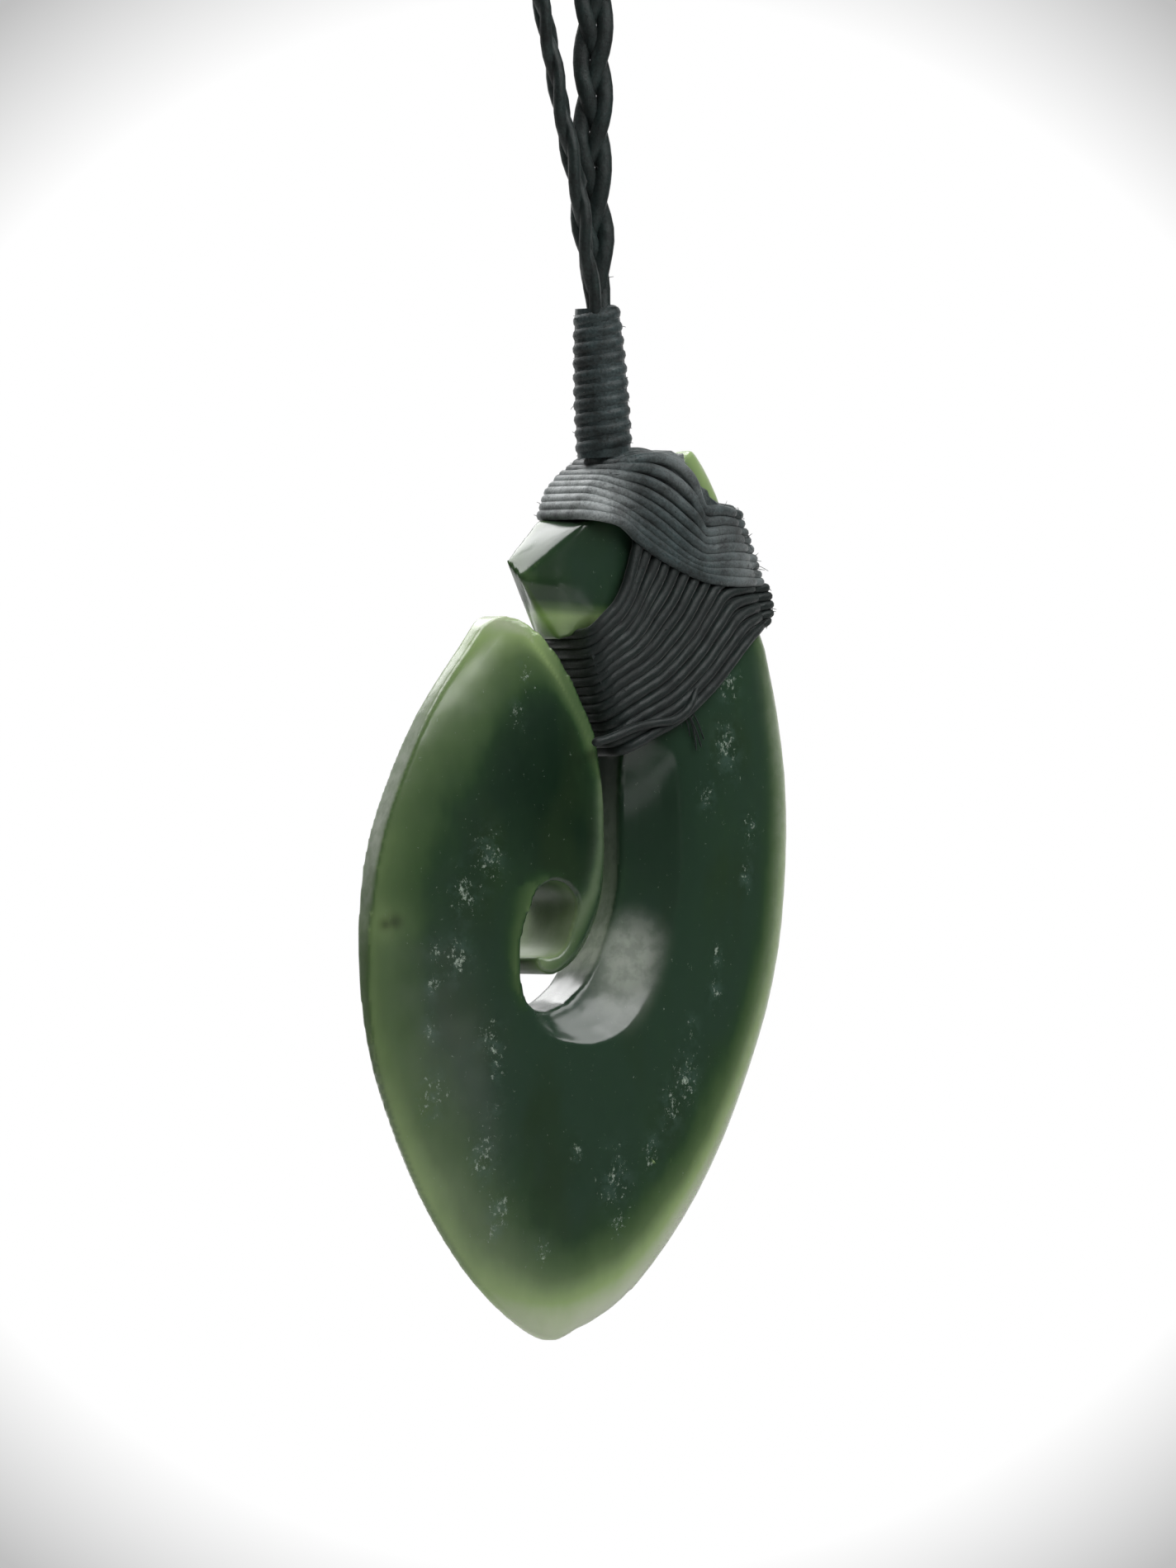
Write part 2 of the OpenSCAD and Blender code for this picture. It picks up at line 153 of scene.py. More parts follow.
# The lobe's rounded shoulder beside that edge, which is paler too, from a painted glow and a painted
# highlight.
LOBE_BAND = [(0.03, 0.62), (0.02, 0.562), (-0.022, 0.505), (-0.094, 0.473), (-0.178, 0.434), (-0.266, 0.423)]
# How strong the painted glow is on that edge at two heights, and on the shoulder, the slit's walls and the
# dull walls.
LOBE_LIGHT = ([0.70, 0.78], [0.26, 0.55])
BAND_LIGHT = 0.16
WALL_LIGHT = 0.15
DULL_LIGHT = 0.18
# Clusters of flecks: across, height, and radius in millimetres.
FLECKS = [
    (-0.51, 0.540, 1.5), (-0.61, 0.500, 1.4), (-0.74, 0.440, 0.7), (-0.74, 0.400, 0.7), (-0.64, 0.430, 1.3),
    (-0.74, 0.350, 0.8), (-0.49, 0.338, 1.2), (-0.46, 0.305, 0.8), (-0.72, 0.275, 1.3), (-0.50, 0.210, 1.5),
    (-0.41, 0.147, 1.2), (-0.43, 0.125, 0.8), (-0.21, 0.100, 0.8), (0.65, 0.665, 1.6), (0.54, 0.610, 0.9),
    (0.67, 0.735, 1.3), (0.77, 0.570, 0.9), (0.75, 0.520, 0.8), (0.59, 0.390, 0.8), (0.59, 0.430, 0.6),
    (0.47, 0.345, 0.8), (0.45, 0.290, 1.4), (0.38, 0.260, 1.3), (0.29, 0.210, 1.0), (0.12, 0.180, 1.6),
    (-0.32, 0.745, 0.7), (-0.36, 0.700, 0.7), (-0.08, 0.210, 0.7), (-0.46, 0.260, 0.8), (0.14, 0.130, 0.7),
]
# Two spots of a brown stain in the left band, in the same units.
STAIN = [(-0.895, 0.4695, 0.5), (-0.93, 0.467, 0.42)]
# A carved edge turns by more than this and stays crisp. The rest is smoothed at distances from such
# edges, in millimetres, for so many rounds.
CRISP_ANGLE = math.radians(24)
SMOOTHING = ((0.0, 3), (0.35, 8), (0.8, 20), (1.3, 40))
# A painted shade, the darkest zone of the face: across, height, and the reach across and up.
SHADE_ZONE = (-0.1, 0.62, 0.55, 0.15)
# Rays into the stone from each point: how many, how wide they spread, and the length in which they fade.
RAYS = 7
RAY_SPREAD = 0.8
RAY_FADE = 2.2 * MM
# The names of the values that are painted into the stone's points.
STONE_PAINT = ("light_through", "fleck_cluster", "stain", "painted_shade_zone", "painted_highlight", "unpolished")
# How far the right flank stands out beyond the solid: height and millimetres.
RIGHT_FLANK = np.array([
    (0.00, 0.20), (0.03, 0.35), (0.08, 0.36), (0.14, 0.40), (0.19, 0.46), (0.25, 0.58), (0.30, 0.64),
    (0.36, 0.58), (0.42, 0.47), (0.58, 0.44), (0.72, 0.46), (0.775, 0.42), (0.82, 0.0),
])
# A flat beside the tip that is ground round: across, height, and radius in millimetres.
TIP_FLAT = (0.14, 0.030, 2.4)
# The hollow beside the tip that is filled: across, reach across, reach up, and depth in millimetres.
TIP_FILL = (0.085, 0.10, 0.06, 0.33)

# A painted sheen on the wax of the upper lashing, pale spots that stand in for light: across, height, radius
# in millimetres and strength.
SHEEN_SPOTS = [
    (-0.02, 0.945, 2.2, 0.95), (0.80, 0.865, 3.0, 0.32), (0.44, 0.985, 2.6, 0.34), (0.60, 0.900, 2.0, 0.18),
]

# How far the thread's middle stands off the stone in the two lashings, how far the core under the turns lies
# inside the lashing's solid, and how far it stays behind the first and the last turn.
LOWER_OFF = 0.72 * MM
UPPER_OFF = 1.05 * MM
CORE_DEPTH = 0.45 * MM
CORE_BEHIND = 0.3 * MM
# Turns that close over the head: their stand-off, and how far out they lie from its middle plane, as shares.
CROWN_OFF = 0.95 * MM
CROWN_SHARES = (0.78, 0.52, 0.26)
# Loose thread on the lower lashing: a strand that crosses the lowest turns, and frayed ends at its right.
# Each has its stand-off and radius in millimetres and its places across and up.
LOOSE_THREADS = [
    (1.15, 0.30, [(-0.065, 0.669), (-0.041, 0.670), (0.030, 0.675), (0.131, 0.685), (0.232, 0.691),
                  (0.321, 0.694), (0.388, 0.704), (0.422, 0.715), (0.449, 0.730)]),
    (0.35, 0.07, [(0.405, 0.712), (0.445, 0.698), (0.477, 0.681), (0.501, 0.664)]),
    (0.30, 0.06, [(0.415, 0.712), (0.450, 0.694), (0.470, 0.676), (0.476, 0.660)]),
    (0.25, 0.06, [(0.425, 0.716), (0.460, 0.704), (0.492, 0.690), (0.520, 0.672)]),
    (0.30, 0.05, [(0.400, 0.706), (0.432, 0.692), (0.444, 0.676)]),
]

# The neck loop's route: across, depth and height above the whipping, in millimetres.
ROUTE = [
    (-0.45, -0.4, -1.4), (-0.6, -0.6, 0), (-1.5, -0.8, 4), (-2, -0.6, 8), (-2.8, -0.3, 12), (-3.7, 0, 17),
    (-5, 0, 22), (-8, 0, 31), (-14, 0, 50), (-22, 0, 80), (-30, 0, 120), (-38, 0, 160), (-45, 0, 200),
    (-49, 0, 235), (-50, 0, 260), (-48, 0, 280), (-42, 0, 298), (-32, 0, 312), (-18, 0, 321),
    (-2, 0, 324), (14, 0, 321), (28, 0, 312), (38, 0, 298), (44, 0, 280), (46, 0, 260),
    (45, 0, 235), (39, 0, 200), (29, 0, 160), (18, 0, 120), (8, 0, 80), (2.5, 0, 50),
    (0.3, 0, 31), (-0.2, 0, 22), (-0.2, 0.1, 17), (-0.1, 0.3, 12), (0, 0.6, 8), (0.4, 0.8, 4),
    (0.5, 0.6, 0), (0.4, 0.4, -1.4),
]
# The place at the top of the whipping that those heights start from.
CORD_FOOT = Vector((2, 0, -324 + 0.85)) * MM

# How far the flat of the plait is turned about its run, in degrees, at shares of the loop.
PLAIT_TURN = ([0, 0.03, 0.12, 0.5, 0.88, 0.97, 1], [-20, -33, -20, 0, -30, -57, -57])
# How far a strand of the plait swings to the sides and rises over the others, and how flat the plait is
# pressed.
PLAIT_SWING = 0.8 * MM
PLAIT_RISE = 0.34 * MM
PLAIT_PRESSED = 0.72

# The whipping: its length, its lean to the left, and in millimetres its radius and that of the filling
# under the thread, both at the foot, and how much they narrow to the top.
WHIP_LENGTH = 9.5 * MM
WHIP_LEAN = math.radians(3.5)
WHIP_RADIUS = 1.95
WHIP_FILLING = 1.81
WHIP_NARROWS = 0.35

# Length in which the yarns of a thread twist once round it, in millimetres.
TWIST_MM = 1.6
# A stray fibre's radius at its root and tip. Anything as fine as FINE_RADIUS is drawn with four sides.
FIBRE_RADII = (0.03 * MM, 0.015 * MM)
FINE_RADIUS = 0.04 * MM

# The camera looks level and from the left, at a place a little right of the loop's middle.
CAMERA_YAW = math.radians(-33)
CAMERA_DISTANCE = 1.0
CAMERA_SHIFT = 1.1 * MM
VIEW_Z = -355.56 * MM
VIEW_HEIGHT = 105.5 * MM
FLOOR_Z = -0.62
FLOOR_RADIUS = 0.7

# Soft lights: direction from the pendant in the camera's right, up and forward, size in metres, and
# radiance.
LIGHT_DISTANCE = 0.6
LIGHTS = {
    "key_window": ((0.42, 0.65, -0.63), (0.38, 0.30), 4.1),
    "key_top": ((0.66, 0.74, -0.15), (0.34, 0.3), 3.6),
    "sky_left": ((-0.36, 0.645, 0.675), (0.31, 0.30), 4.4),
    "sky_top": ((-0.50, 0.84, 0.14), (0.34, 0.3), 5.0),
    "bounce_low": ((-0.64, -0.50, 0.59), (0.2, 0.2), 2.5),
    "bench_glow": ((0.55, -0.2, -0.8), (0.2, 0.12), 0.7),
    "bench_low": ((0.42, -0.47, -0.78), (0.16, 0.14), 0.45),
}


def linear(hex_colour):
    """A colour written as sRGB hex, as the linear values that sockets take."""
    parts = [int(hex_colour[i:i + 2], 16) / 255 for i in (0, 2, 4)]
    return [c / 12.92 if c <= 0.04045 else ((c + 0.055) / 1.055) ** 2.4 for c in parts] + [1.0]


def add_node(tree, kind, links=None, stops=(), easing="EASE", **settings):
    """Adds a node and sets its properties or input values by name. Each of the links gives an input an output
    to take or a plain value. A colour ramp gets its stops as (position, colour) pairs."""
    node = tree.nodes.new(kind)
    for name, value in settings.items():
        if name in node.bl_rna.properties and name not in node.inputs:
            setattr(node, name, value)
        else:
            node.inputs[name.replace("_", " ")].default_value = value
    for name, source in (links or {}).items():
        if isinstance(source, bpy.types.NodeSocket):
            tree.links.new(source, node.inputs[name])
        else:
            node.inputs[name].default_value = source
    if stops:
        node.color_ramp.interpolation = easing
        elements = node.color_ramp.elements
        while len(elements) < len(stops):
            elements.new(1)
        for element, (position, colour) in zip(elements, stops):
            element.position = position
            element.color = colour
    return node


def new_material(name):
    """An empty material, and add_node for its tree."""
    material = bpy.data.materials.new(name)
    material.use_nodes = True
    material.node_tree.nodes.clear()
    return material, partial(add_node, material.node_tree)


def grey(value):
    """A grey as the linear values that sockets take."""
    return (value, value, value, 1)


def nephrite(colours):
    """Nephrite jade, cut and polished: dark and even in the thick middle, with a painted shade in its darkest
    zone, a painted glow where light would get through a thin edge, a painted highlight on its rims, slit
    walls and hollow, and cloudy green and strings of whitish tremolite flecks under a waxy gloss. The drilled
    walls of the eye are duller."""
    material, add = new_material("polished_nephrite")
    place = add("ShaderNodeTexCoord").outputs["Object"]
    lit, cluster, stain, painted_shade, painted_highlight, unpolished = (
        add("ShaderNodeAttribute", attribute_name=name).outputs["Fac"] for name in STONE_PAINT)
    # Clouds 7 mm across, with streaks down the stone, shift how far the painted glow of the pale edge reaches
    # in.
    along = add("ShaderNodeMapping", {"Vector": place}, Scale=(1, 1, 0.5)).outputs[0]
    clouds = add("ShaderNodeTexNoise", {"Vector": along}, Scale=1 / (7 * MM), Detail=4.0, Roughness=0.6)
    reach = add("ShaderNodeMath", {0: clouds.outputs["Fac"], 1: 0.36, 2: -0.17}, operation="MULTIPLY_ADD")
    glow = add("ShaderNodeMath", {0: lit, 1: reach.outputs[0]}, operation="ADD").outputs[0]
    light = add("ShaderNodeValToRGB", {"Fac": glow}, [
        (0.1, linear(colours.stone_green)), (0.38, linear(colours.stone_light)),
        (0.7, linear(colours.stone_pale)), (1.0, linear(colours.stone_edge)),
    ], "LINEAR")
    # The thick middle goes from grey green to a deeper green in a painted shade, with olive veils 5 mm
    # across.
    thick = add("ShaderNodeMix", {
        "Factor": painted_shade, 6: linear(colours.stone_dark), 7: linear(colours.stone_shade),
    }, data_type="RGBA")
    veils = add("ShaderNodeTexNoise", {"Vector": along}, Scale=1 / (5 * MM), Detail=2.0)
    veil = add("ShaderNodeValToRGB", {"Fac": veils.outputs["Fac"]}, [(0.5, grey(0)), (0.75, grey(0.5))])
    veiled = add("ShaderNodeMix", {
        "Factor": veil.outputs["Color"], 6: thick.outputs[2], 7: linear(colours.stone_olive),
    }, data_type="RGBA")
    shown = add("ShaderNodeValToRGB", {"Fac": glow}, [(0.0, grey(0)), (0.2, grey(1))])
    body = add("ShaderNodeMix", {
        "Factor": shown.outputs["Color"], 6: veiled.outputs[2], 7: light.outputs["Color"],
    }, data_type="RGBA")
    # The painted highlight, and the milky patch that each cluster of flecks lies in, have soft lumps of 1 mm.
    lumps = add("ShaderNodeTexNoise", {"Vector": place}, Scale=1 / (1.1 * MM), Detail=3.0,
                Roughness=0.6).outputs["Fac"]
    uneven = add("ShaderNodeValToRGB", {"Fac": lumps}, [(0.36, grey(0.7)), (0.62, grey(1))])
    lumpy_highlight = add("ShaderNodeMath", {0: uneven.outputs["Color"], 1: painted_highlight}, operation="MULTIPLY")
    patches = add("ShaderNodeValToRGB", {"Fac": lumps}, [(0.42, grey(0)), (0.68, grey(0.34))])
    milk = add("ShaderNodeMath", {0: patches.outputs["Color"], 1: cluster}, operation="MULTIPLY")
    # Flecks of 0.2 to 0.6 mm, close together in the clusters and rare elsewhere.
    grains = add("ShaderNodeMapping", {"Vector": place}, Scale=(1, 1, 0.75))
    fine = add("ShaderNodeTexNoise", {"Vector": grains.outputs[0]}, Scale=1 / (0.34 * MM), Detail=5.0,
               Roughness=0.8)
    dense = add("ShaderNodeMath", {0: cluster, 1: 0.14, 2: fine.outputs["Fac"]}, operation="MULTIPLY_ADD")
    flecks = add("ShaderNodeValToRGB", {"Fac": dense.outputs[0]}, [
        (0.66, grey(0)), (0.76, grey(1)),
    ], "LINEAR")
    amount = add("ShaderNodeMath", {0: flecks.outputs["Color"], 1: colours.fleck_strength},
                 operation="MULTIPLY")
    # Over the body's colour come the painted highlight, the milky patches, the flecks and the stain.
    colour = body.outputs[2]
    for factor, tint in (
            (lumpy_highlight.outputs[0], colours.highlight_colour), (milk.outputs[0], colours.milk_colour),
            (amount.outputs[0], colours.fleck_colour), (stain, colours.stain_colour)):
        colour = add("ShaderNodeMix", {"Factor": factor, 6: colour, 7: linear(tint)},
                     data_type="RGBA").outputs[2]
    # The polish is a little uneven, in marks of about 1 mm, and a drill leaves the eye's walls duller.
    marks = add("ShaderNodeTexNoise", {"Vector": place}, Scale=1 / MM, Detail=3.0).outputs["Fac"]
    polish = add("ShaderNodeMapRange", {"Value": marks}, To_Min=0.15, To_Max=0.27)
    roughness = add("ShaderNodeMath", {0: unpolished, 1: 0.34, 2: polish.outputs[0]},
                    operation="MULTIPLY_ADD")
    # Grinding by hand leaves the faces in low waves about 4 mm long.
    waves = add("ShaderNodeTexNoise", {"Vector": place}, Scale=1 / (4 * MM), Detail=1.0)
    bent = add("ShaderNodeBump", {"Height": waves.outputs["Fac"]}, Strength=0.25, Distance=0.35 * MM)
    bump = add("ShaderNodeBump", {"Height": marks, "Normal": bent.outputs[0]}, Strength=0.05,
               Distance=0.02 * MM)
    # Light spreads 0.9 mm inside the stone, farthest in the green.
    shader = add("ShaderNodeBsdfPrincipled", {
        "Base Color": colour, "Roughness": roughness.outputs[0], "Normal": bump.outputs[0],
    }, IOR=1.62, Subsurface_Weight=0.3, Subsurface_Scale=0.9 * MM, Subsurface_Radius=(0.7, 1.0, 0.6))
    add("ShaderNodeOutputMaterial", {"Surface": shader.outputs["BSDF"]})
    return material


def waxed_thread(name, dark, light, painted_sheen_colour, sheen=0.4):
    """Waxed polyester thread, twisted from fine yarns: charcoal and half dull, with shallow ribs that run
    slantwise along it, a painted sheen in pale spots on the crests, and short stray fibres."""
    material, add = new_material(name)
    uv = add("ShaderNodeUVMap", uv_map="UVMap").outputs[0]
    place = add("ShaderNodeTexCoord").outputs["Object"]
    # Along is in millimetres of thread and around is one turn. The three yarns come round every TWIST_MM.
    parts = add("ShaderNodeSeparateXYZ", {"Vector": uv})
    around = add("ShaderNodeMath", {0: parts.outputs[1], 1: 3.0}, operation="MULTIPLY")
    phase = add("ShaderNodeMath", {0: parts.outputs[0], 1: 1 / TWIST_MM, 2: around.outputs[0]},
                operation="MULTIPLY_ADD")
    turn = add("ShaderNodeMath", {0: phase.outputs[0], 1: 2 * math.pi}, operation="MULTIPLY")
    ribs = add("ShaderNodeMath", {0: turn.outputs[0]}, operation="SINE")
    # Fibres break up the ribs. They are 0.02 mm wide, but drawn 0.16 mm coarse so that they show.
    fibres = add("ShaderNodeTexNoise", {"Vector": place}, Scale=1 / (0.16 * MM), Detail=4.0,
                 Roughness=0.7).outputs["Fac"]
    height = add("ShaderNodeMath", {0: ribs.outputs[0], 1: 0.18, 2: fibres}, operation="MULTIPLY_ADD")
    # The wax lies in patches 1.5 mm long.
    wax = add("ShaderNodeTexNoise", {"Vector": place}, Scale=1 / (1.5 * MM), Detail=3.0,
              Roughness=0.6).outputs["Fac"]
    mixed = add("ShaderNodeMath", {0: fibres, 1: wax}, operation="MULTIPLY").outputs[0]
    tone = add("ShaderNodeValToRGB", {"Fac": mixed}, [(0.14, linear(dark)), (0.40, linear(light))],
               "LINEAR")
    # A painted sheen shows pale in the spots painted on the thread, less in the hollows between fibres.
    painted_sheen = add("ShaderNodeAttribute", attribute_name="painted_sheen").outputs["Fac"]
    crests = add("ShaderNodeValToRGB", {"Fac": mixed}, [(0.12, grey(0.4)), (0.34, grey(1))])
    patchy = add("ShaderNodeMath", {0: painted_sheen, 1: crests.outputs["Color"]}, operation="MULTIPLY")
    colour = add("ShaderNodeMix", {
        "Factor": patchy.outputs[0], 6: tone.outputs["Color"], 7: linear(painted_sheen_colour),
    }, data_type="RGBA")
    bump = add("ShaderNodeBump", {"Height": height.outputs[0]}, Strength=0.6, Distance=0.07 * MM)
    roughness = add("ShaderNodeMapRange", {"Value": wax}, From_Min=0.35, From_Max=0.65, To_Min=0.62,
                    To_Max=0.42)
    shader = add("ShaderNodeBsdfPrincipled", {
        "Base Color": colour.outputs[2], "Normal": bump.outputs[0], "Roughness": roughness.outputs[0],
    }, Sheen_Weight=sheen, Sheen_Roughness=0.35)
    add("ShaderNodeOutputMaterial", {"Surface": shader.outputs["BSDF"]})
    return material


def plain(name, hex_colour, roughness):
    """Matt studio paper, uncoated, for the floor: pale and without gloss."""
    material, add = new_material(name)
    shader = add("ShaderNodeBsdfPrincipled", Base_Color=linear(hex_colour), Roughness=roughness)
    add("ShaderNodeOutputMaterial", {"Surface": shader.outputs["BSDF"]})
    return material


def link_new(name, data):
    """A new object in the collection."""
    obj = bpy.data.objects.new(name, data)
    bpy.context.collection.objects.link(obj)
    return obj


def shaped(obj):
    """The mesh that its bevel or modifier makes of an object, which goes."""
    mesh = bpy.data.meshes.new_from_object(obj.evaluated_get(bpy.context.evaluated_depsgraph_get()))
    bpy.data.objects.remove(obj)
    return mesh


def solid(node):
    """A working mesh of a node's solid, with doubled points merged."""
    bm = bmesh.new()
    bm.from_mesh(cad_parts[node].data)
    bmesh.ops.remove_doubles(bm, verts=bm.verts, dist=0.002 * MM)
    return bm


def finished_mesh(bm, name):
    """A mesh from a working mesh, which goes."""
    mesh = bpy.data.meshes.new(name)
    bm.to_mesh(mesh)
    bm.free()
    return mesh


def finder(points):
    """A tree that finds the nearest of some points."""
    tree = KDTree(len(points))
    for index, point in enumerate(points):
        tree.insert(point, index)
    tree.balance()
    return tree


def add_object(name, mesh, material):
    """A new object at the origin with one material. It takes the place of an older one of its name."""
    old = bpy.data.objects.get(name)
    if old:
        bpy.data.objects.remove(old)
    mesh.name = name
    mesh.materials.clear()
    mesh.materials.append(material)
    return link_new(name, mesh)


def catmull(points, per_span):
    """A smooth run of points through the given ones."""
    p = np.array(points, float)
    last = len(p) - 1
    out = []
    for i in range(last):
        a, b, c, d = p[max(i - 1, 0)], p[i], p[i + 1], p[min(i + 2, last)]
        for k in range(per_span):
            t = k / per_span
            out.append(0.5 * (2 * b + (c - a) * t + (2 * a - 5 * b + 4 * c - d) * t * t
                              + (3 * b - a - 3 * c + d) * t ** 3))
    out.append(p[-1])
    return np.array(out)


def tubes(name, runs, material, sides=10):
    """One mesh of round threads. Each run is (points, radii, closed), all in metres. Its UV map gives the way
    along a thread in millimetres, fitted to whole twists, and the share of the way round it."""
    bm = bmesh.new()
    for points, radii, closed in runs:
        curve = bpy.data.curves.new(name, "CURVE")
        curve.dimensions = "3D"
        curve.bevel_depth = 1
        curve.bevel_resolution = max(0, sides // 2 - 2) if np.max(radii) > FINE_RADIUS else 0
        curve.use_fill_caps = True
        spline = curve.splines.new("POLY")
        spline.points.add(len(points) - 1)
        spline.use_cyclic_u = closed
        spline.points.foreach_set("co", np.c_[points, np.ones(len(points))].astype(np.float32).ravel())
        spline.points.foreach_set("radius", np.broadcast_to(radii, len(points)).astype(np.float32))
        mesh = shaped(link_new(name + "_curve", curve))
        bpy.data.curves.remove(curve)
        length = np.linalg.norm(np.diff(points, axis=0), axis=1).sum() / MM
        uv = np.empty(len(mesh.loops) * 2, np.float32)
        mesh.uv_layers["UVMap"].data.foreach_get("uv", uv)
        uv[::2] *= max(1, round(length / TWIST_MM)) * TWIST_MM
        mesh.uv_layers["UVMap"].data.foreach_set("uv", uv)
        bm.from_mesh(mesh)
        bpy.data.meshes.remove(mesh)
    mesh = finished_mesh(bm, name)
    mesh.shade_smooth()
    return add_object(name, mesh, material)


def head_face(x, z):
    """Half the blank's thickness on the head at shares of its half width and height."""
    left, right, crown, rim_left, rim_right, flat = (
        np.interp(z, HEAD[:, 0], HEAD[:, k]) for k in range(1, 7))
    u = np.clip((x - (left + right) / 2) / ((right - left) / 2), -1, 1)
    low = rim_left + (crown - rim_left) * (1 - np.abs(u) ** flat)
    high = rim_right + (crown - rim_right) * (1 - np.abs(u) ** 2.6) ** (1 / 1.5)
    return np.where(u < 0, low, high) * STONE_T / 2


def key_turns(table, count):
    """Turns at even places between the three key turns of a table, on a curve through them."""
    out = []
    for share in np.linspace(0, 1, count):
        low, mid, high = 2 * (share - 0.5) * (share - 1), 4 * share * (1 - share), 2 * share * (share - 0.5)
        out.append(low * table[0] + mid * table[1] + high * table[2])
    return out


def turn_path(turn, stand_off, count=120, under=None):
    """The middle of one turn of thread round the head, as a closed run of points. It sinks where it goes
    under the turn given as under."""
    angle = np.linspace(0, 2 * math.pi, count, endpoint=False)
    u = -np.cos(angle)
    smooth = catmull(turn, 12)
    across = (smooth[:, 0] - smooth[0, 0]) / (smooth[-1, 0] - smooth[0, 0])
    share = (u + 1) / 2
    x = np.interp(share, across, smooth[:, 0])
    z = np.interp(share, across, smooth[:, 1])
    sunk = np.zeros(count)
    if under is not None:
        cover = np.interp(x, under[:, 0], under[:, 1])
        sunk = np.clip((z - cover) * STONE_H / MM + 0.3, 0, 1) * 0.5 * MM
    depth = (head_face(x, z) + stand_off - sunk) * (1 - np.abs(u) ** 8) ** (1 / 8)
    y = np.where(angle < math.pi, -depth, depth)
    return np.c_[x * HALF_W + STONE_X - sunk * u ** 5, y, z * STONE_H + STONE_Z]


def wobble(points, amount, seed):
    """Moves a run a little in three waves, so that no two turns lie just alike."""
    rng = np.random.default_rng(seed)
    t = np.linspace(0, 2 * math.pi, len(points), endpoint=False)
    shift = sum(rng.normal(size=3)[None, :] * np.sin(t * (k + 1) + rng.uniform(0, 6.3))[:, None] / (k + 1)
                for k in range(3))
    return points + amount * shift


def stray_fibres(runs, count, seed, centre=None, longest=0.5):
    """Short fibres that stand out from threads, as further runs. They point away from a centre where one is
    given."""
    rng = np.random.default_rng(seed)
    out = []
    for _ in range(count):
        points, radii = runs[rng.integers(len(runs))][:2]
        k = rng.integers(3, len(points) - 3)
        along = points[k + 1] - points[k - 1]
        along /= np.linalg.norm(along) * rng.choice([-1, 1])
        side = np.cross(along, rng.normal(size=3))
        side /= np.linalg.norm(side)
        if centre is not None and side @ (points[k] - centre) < 0:
            side = -side
        t = np.linspace(0, 1, 5)[:, None]
        length = rng.uniform(0.15, longest) * MM
        lift = side * rng.uniform(0.3, 0.8) + along * 0.6
        curl = rng.normal(size=3) * 0.4
        path = points[k] + side * np.mean(radii) * 0.95 + length * (lift * t + curl * t * t)
        out.append((path, np.linspace(*FIBRE_RADII, 5), False))
    return out


class PendantSizes(bpy.types.PropertyGroup):
    lash_d: FloatProperty(
        name="Lashing thread", description="Diameter of one turn of the lashings", default=0.78 * MM,
        unit="LENGTH", precision=5)
    upper_count: IntProperty(name="Upper turns", description="Turns in the upper lashing", default=9)
    lower_count: IntProperty(name="Lower turns", description="Turns in the lower lashing", default=14)
    whip_d: FloatProperty(
        name="Whipping thread", description="Diameter of one turn of the whipping", default=1.0 * MM,
        unit="LENGTH", precision=5)
    whip_turns: IntProperty(name="Whipping turns", description="Turns in the whipping", default=10)
    strand_d: FloatProperty(
        name="Plait strand", description="Diameter of one strand of the plait", default=1.16 * MM,
        unit="LENGTH", precision=5)
    plait_pitch: FloatProperty(
        name="Plait pitch", description="Length in which a strand crosses over and back", default=14.4 * MM,
        unit="LENGTH", precision=5)
    voxel: FloatProperty(
        name="Stone detail", description="Size of the stone's mesh faces", default=0.22 * MM,
        unit="LENGTH", precision=5)


class PendantColours(bpy.types.PropertyGroup):
    stone_dark: StringProperty(name="Stone, thick", description="The thick middle", default="304837")
    # The deep colour is a painted shade in the darkest zone of the face.
    stone_shade: StringProperty(name="Stone, painted shade", description="The darkest zone", default="0d2816")
    stone_olive: StringProperty(name="Stone, veil", description="Olive veils", default="2c3f22")
    # The green, light, pale and edge colours make up the painted glow where light would get through a thin
    # edge.
    stone_green: StringProperty(name="Stone, green", description="Body colour", default="33502f")
    stone_light: StringProperty(name="Stone, light", description="Where light gets in", default="627b50")
    stone_pale: StringProperty(name="Stone, pale", description="Near a thin edge", default="a2bc7e")
    stone_edge: StringProperty(name="Stone, edge", description="At a thin edge", default="d8e0c6")
    stain_colour: StringProperty(name="Stain", description="Brown stain in the stone", default="24281a")
    milk_colour: StringProperty(name="Milk", description="Milky patches round flecks", default="5f7a72")
    # The haze colour is a painted highlight on the stone's rims, slit walls and hollow.
    highlight_colour: StringProperty(name="Painted highlight", description="Painted highlight on rims, walls and hollow", default="e4eade")
    fleck_colour: StringProperty(name="Flecks", description="Whitish flecks", default="b6c6b6")
    fleck_strength: FloatProperty(
        name="Fleck strength", description="How clearly the flecks show", default=0.9, subtype="FACTOR")
    thread_dark: StringProperty(name="Thread", description="Waxed thread", default="121a19")
    thread_light: StringProperty(name="Thread crests", description="Paler wax", default="465657")
    # The lower crests make the lower lashing a darker copy of the thread, a painted shade.
    lower_shaded_light: StringProperty(name="Lower crests", description="Painted shade on the lower lashing", default="1d2b28")
    # The bloom colour is a painted sheen: pale spots that stand in for light on the wax.
    painted_sheen_colour: StringProperty(name="Painted sheen", description="Pale painted sheen on the wax", default="c6cccc")
    plait_dark: StringProperty(name="Plait", description="Plait strands", default="0a1211")
    plait_light: StringProperty(name="Plait crests", description="Paler wax on the plait", default="2b3a38")


def polyline_distance(points, line):
    """How far points in a plane are from a line through the given ones."""
    best = np.full(len(points), 1e9)
    for a, b in zip(line, line[1:]):
        along = np.clip((points - a) @ (b - a) / ((b - a) @ (b - a)), 0, 1)
        best = np.minimum(best, np.linalg.norm(points - a - along[:, None] * (b - a), axis=1))
    return best


